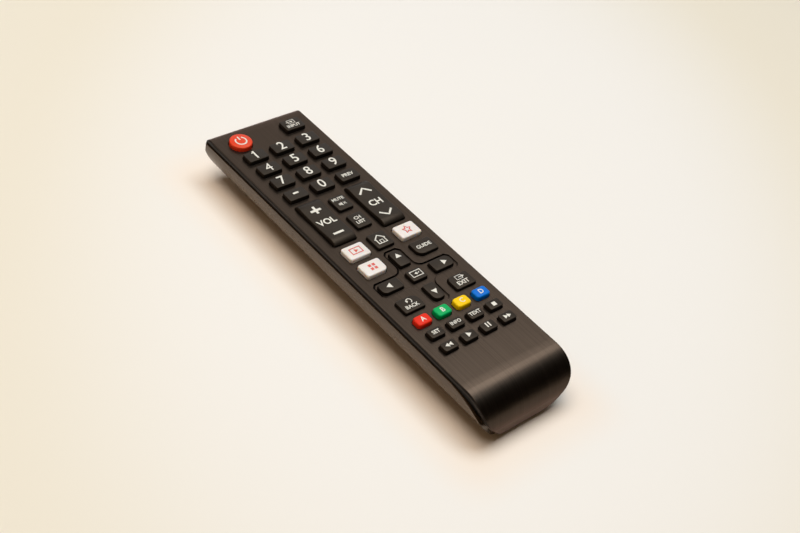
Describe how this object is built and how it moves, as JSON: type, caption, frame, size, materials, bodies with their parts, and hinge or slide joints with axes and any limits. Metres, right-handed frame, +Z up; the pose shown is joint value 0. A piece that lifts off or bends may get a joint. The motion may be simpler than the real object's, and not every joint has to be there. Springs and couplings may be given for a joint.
{
  "type": "tv remote control",
  "caption": "Slim infrared TV remote control with number, arrow and media keys, two tilting rockers, and a sliding battery door over two cells.",
  "frame": {"origin": "centre of the footprint, on the surface that the remote lies on", "axes": "+Z up out of the keys, +Y along the body towards the infrared end, +X to the right of someone who holds it"},
  "size_m": [0.0404, 0.1508, 0.0198],
  "materials": {
    "fascia_plastic": "hairline-brushed satin gloss",
    "shell_plastic": "fine satin texture",
    "mat_rubber": "matt",
    "board_laminate": "satin solder mask",
    "lamp_plastic": "clear dark lens",
    "chip_plastic": "matt moulded",
    "metal_can": "satin",
    "cell_sleeve": "printed sleeve on a steel can",
    "contact_metal": "nickel plated",
    "key_rubber": "satin silicone",
    "red_rubber": "satin silicone",
    "green_rubber": "satin silicone",
    "yellow_rubber": "satin silicone",
    "blue_rubber": "satin silicone",
    "white_plastic": "satin moulded"
  },
  "bodies": {
    "remote_body": {"front_cover": "fascia_plastic", "rear_housing": "shell_plastic", "keypad_mat": "mat_rubber", "circuit_board": "board_laminate", "ir_led": "lamp_plastic", "control_chip": "chip_plastic", "resonator": "metal_can", "capacitor": "metal_can", "transistor": "chip_plastic", "chip_resistors": "chip_plastic", "battery_left": "cell_sleeve", "battery_right": "cell_sleeve", "positive_contact": "contact_metal", "negative_contact": "contact_metal", "bridge_contact": "contact_metal"},
    "battery_door": {"battery_door": "shell_plastic"},
    "power_key": {"power_key": "red_rubber"},
    "source_key": {"source_key": "key_rubber"},
    "number_key_1": {"number_key_1": "key_rubber"},
    "number_key_2": {"number_key_2": "key_rubber"},
    "number_key_3": {"number_key_3": "key_rubber"},
    "number_key_4": {"number_key_4": "key_rubber"},
    "number_key_5": {"number_key_5": "key_rubber"},
    "number_key_6": {"number_key_6": "key_rubber"},
    "number_key_7": {"number_key_7": "key_rubber"},
    "number_key_8": {"number_key_8": "key_rubber"},
    "number_key_9": {"number_key_9": "key_rubber"},
    "dash_key": {"dash_key": "key_rubber"},
    "number_key_0": {"number_key_0": "key_rubber"},
    "previous_key": {"previous_key": "key_rubber"},
    "mute_key": {"mute_key": "key_rubber"},
    "list_key": {"list_key": "key_rubber"},
    "home_key": {"home_key": "key_rubber"},
    "shortcut_key_left": {"shortcut_key_left": "white_plastic"},
    "shortcut_key_right": {"shortcut_key_right": "white_plastic"},
    "shortcut_key_lower": {"shortcut_key_lower": "white_plastic"},
    "guide_key": {"guide_key": "key_rubber"},
    "select_key": {"select_key": "key_rubber"},
    "up_key": {"up_key": "key_rubber"},
    "down_key": {"down_key": "key_rubber"},
    "left_key": {"left_key": "key_rubber"},
    "right_key": {"right_key": "key_rubber"},
    "return_key": {"return_key": "key_rubber"},
    "exit_key": {"exit_key": "key_rubber"},
    "red_key": {"red_key": "red_rubber"},
    "green_key": {"green_key": "green_rubber"},
    "yellow_key": {"yellow_key": "yellow_rubber"},
    "blue_key": {"blue_key": "blue_rubber"},
    "settings_key": {"settings_key": "key_rubber"},
    "info_key": {"info_key": "key_rubber"},
    "caption_key": {"caption_key": "key_rubber"},
    "stop_key": {"stop_key": "key_rubber"},
    "rewind_key": {"rewind_key": "key_rubber"},
    "play_key": {"play_key": "key_rubber"},
    "pause_key": {"pause_key": "key_rubber"},
    "forward_key": {"forward_key": "key_rubber"},
    "volume_rocker": {"volume_rocker": "key_rubber"},
    "channel_rocker": {"channel_rocker": "key_rubber"}
  },
  "joints": [
    {"name": "battery_door_slide", "type": "slide", "parent": "remote_body", "child": "battery_door", "axis": [0, -1, 0], "range_m": [0, 0.06]},
    {"name": "power_key_press", "type": "slide", "parent": "remote_body", "child": "power_key", "axis": [0, 0, -1], "range_m": [0, 0.0008], "stiffness_N_per_m": 1500},
    {"name": "source_key_press", "type": "slide", "parent": "remote_body", "child": "source_key", "axis": [0, 0, -1], "range_m": [0, 0.0008], "stiffness_N_per_m": 1500},
    {"name": "number_key_1_press", "type": "slide", "parent": "remote_body", "child": "number_key_1", "axis": [0, 0, -1], "range_m": [0, 0.0008], "stiffness_N_per_m": 1500},
    {"name": "number_key_2_press", "type": "slide", "parent": "remote_body", "child": "number_key_2", "axis": [0, 0, -1], "range_m": [0, 0.0008], "stiffness_N_per_m": 1500},
    {"name": "number_key_3_press", "type": "slide", "parent": "remote_body", "child": "number_key_3", "axis": [0, 0, -1], "range_m": [0, 0.0008], "stiffness_N_per_m": 1500},
    {"name": "number_key_4_press", "type": "slide", "parent": "remote_body", "child": "number_key_4", "axis": [0, 0, -1], "range_m": [0, 0.0008], "stiffness_N_per_m": 1500},
    {"name": "number_key_5_press", "type": "slide", "parent": "remote_body", "child": "number_key_5", "axis": [0, 0, -1], "range_m": [0, 0.0008], "stiffness_N_per_m": 1500},
    {"name": "number_key_6_press", "type": "slide", "parent": "remote_body", "child": "number_key_6", "axis": [0, 0, -1], "range_m": [0, 0.0008], "stiffness_N_per_m": 1500},
    {"name": "number_key_7_press", "type": "slide", "parent": "remote_body", "child": "number_key_7", "axis": [0, 0, -1], "range_m": [0, 0.0008], "stiffness_N_per_m": 1500},
    {"name": "number_key_8_press", "type": "slide", "parent": "remote_body", "child": "number_key_8", "axis": [0, 0, -1], "range_m": [0, 0.0008], "stiffness_N_per_m": 1500},
    {"name": "number_key_9_press", "type": "slide", "parent": "remote_body", "child": "number_key_9", "axis": [0, 0, -1], "range_m": [0, 0.0008], "stiffness_N_per_m": 1500},
    {"name": "dash_key_press", "type": "slide", "parent": "remote_body", "child": "dash_key", "axis": [0, 0, -1], "range_m": [0, 0.0008], "stiffness_N_per_m": 1500},
    {"name": "number_key_0_press", "type": "slide", "parent": "remote_body", "child": "number_key_0", "axis": [0, 0, -1], "range_m": [0, 0.0008], "stiffness_N_per_m": 1500},
    {"name": "previous_key_press", "type": "slide", "parent": "remote_body", "child": "previous_key", "axis": [0, 0, -1], "range_m": [0, 0.0008], "stiffness_N_per_m": 1500},
    {"name": "mute_key_press", "type": "slide", "parent": "remote_body", "child": "mute_key", "axis": [0, 0, -1], "range_m": [0, 0.0008], "stiffness_N_per_m": 1500},
    {"name": "list_key_press", "type": "slide", "parent": "remote_body", "child": "list_key", "axis": [0, 0, -1], "range_m": [0, 0.0008], "stiffness_N_per_m": 1500},
    {"name": "home_key_press", "type": "slide", "parent": "remote_body", "child": "home_key", "axis": [0, 0, -1], "range_m": [0, 0.0008], "stiffness_N_per_m": 1500},
    {"name": "shortcut_key_left_press", "type": "slide", "parent": "remote_body", "child": "shortcut_key_left", "axis": [0, 0, -1], "range_m": [0, 0.0008], "stiffness_N_per_m": 1500},
    {"name": "shortcut_key_right_press", "type": "slide", "parent": "remote_body", "child": "shortcut_key_right", "axis": [0, 0, -1], "range_m": [0, 0.0008], "stiffness_N_per_m": 1500},
    {"name": "shortcut_key_lower_press", "type": "slide", "parent": "remote_body", "child": "shortcut_key_lower", "axis": [0, 0, -1], "range_m": [0, 0.0008], "stiffness_N_per_m": 1500},
    {"name": "guide_key_press", "type": "slide", "parent": "remote_body", "child": "guide_key", "axis": [0, 0, -1], "range_m": [0, 0.0008], "stiffness_N_per_m": 1500},
    {"name": "select_key_press", "type": "slide", "parent": "remote_body", "child": "select_key", "axis": [0, 0, -1], "range_m": [0, 0.0008], "stiffness_N_per_m": 1500},
    {"name": "up_key_press", "type": "slide", "parent": "remote_body", "child": "up_key", "axis": [0, 0, -1], "range_m": [0, 0.0008], "stiffness_N_per_m": 1500},
    {"name": "down_key_press", "type": "slide", "parent": "remote_body", "child": "down_key", "axis": [0, 0, -1], "range_m": [0, 0.0008], "stiffness_N_per_m": 1500},
    {"name": "left_key_press", "type": "slide", "parent": "remote_body", "child": "left_key", "axis": [0, 0, -1], "range_m": [0, 0.0008], "stiffness_N_per_m": 1500},
    {"name": "right_key_press", "type": "slide", "parent": "remote_body", "child": "right_key", "axis": [0, 0, -1], "range_m": [0, 0.0008], "stiffness_N_per_m": 1500},
    {"name": "return_key_press", "type": "slide", "parent": "remote_body", "child": "return_key", "axis": [0, 0, -1], "range_m": [0, 0.0008], "stiffness_N_per_m": 1500},
    {"name": "exit_key_press", "type": "slide", "parent": "remote_body", "child": "exit_key", "axis": [0, 0, -1], "range_m": [0, 0.0008], "stiffness_N_per_m": 1500},
    {"name": "red_key_press", "type": "slide", "parent": "remote_body", "child": "red_key", "axis": [0, 0, -1], "range_m": [0, 0.0008], "stiffness_N_per_m": 1500},
    {"name": "green_key_press", "type": "slide", "parent": "remote_body", "child": "green_key", "axis": [0, 0, -1], "range_m": [0, 0.0008], "stiffness_N_per_m": 1500},
    {"name": "yellow_key_press", "type": "slide", "parent": "remote_body", "child": "yellow_key", "axis": [0, 0, -1], "range_m": [0, 0.0008], "stiffness_N_per_m": 1500},
    {"name": "blue_key_press", "type": "slide", "parent": "remote_body", "child": "blue_key", "axis": [0, 0, -1], "range_m": [0, 0.0008], "stiffness_N_per_m": 1500},
    {"name": "settings_key_press", "type": "slide", "parent": "remote_body", "child": "settings_key", "axis": [0, 0, -1], "range_m": [0, 0.0008], "stiffness_N_per_m": 1500},
    {"name": "info_key_press", "type": "slide", "parent": "remote_body", "child": "info_key", "axis": [0, 0, -1], "range_m": [0, 0.0008], "stiffness_N_per_m": 1500},
    {"name": "caption_key_press", "type": "slide", "parent": "remote_body", "child": "caption_key", "axis": [0, 0, -1], "range_m": [0, 0.0008], "stiffness_N_per_m": 1500},
    {"name": "stop_key_press", "type": "slide", "parent": "remote_body", "child": "stop_key", "axis": [0, 0, -1], "range_m": [0, 0.0008], "stiffness_N_per_m": 1500},
    {"name": "rewind_key_press", "type": "slide", "parent": "remote_body", "child": "rewind_key", "axis": [0, 0, -1], "range_m": [0, 0.0008], "stiffness_N_per_m": 1500},
    {"name": "play_key_press", "type": "slide", "parent": "remote_body", "child": "play_key", "axis": [0, 0, -1], "range_m": [0, 0.0008], "stiffness_N_per_m": 1500},
    {"name": "pause_key_press", "type": "slide", "parent": "remote_body", "child": "pause_key", "axis": [0, 0, -1], "range_m": [0, 0.0008], "stiffness_N_per_m": 1500},
    {"name": "forward_key_press", "type": "slide", "parent": "remote_body", "child": "forward_key", "axis": [0, 0, -1], "range_m": [0, 0.0008], "stiffness_N_per_m": 1500},
    {"name": "volume_rocker_tilt", "type": "hinge", "parent": "remote_body", "child": "volume_rocker", "pos_m": [-0.01075, 0.01755, 0.0149], "axis": [1, 0, 0], "range_deg": [-3, 3], "stiffness_Nm_per_rad": 0.15},
    {"name": "channel_rocker_tilt", "type": "hinge", "parent": "remote_body", "child": "channel_rocker", "pos_m": [0.01075, 0.01755, 0.0149], "axis": [1, 0, 0], "range_deg": [-3, 3], "stiffness_Nm_per_rad": 0.15}
  ]
}
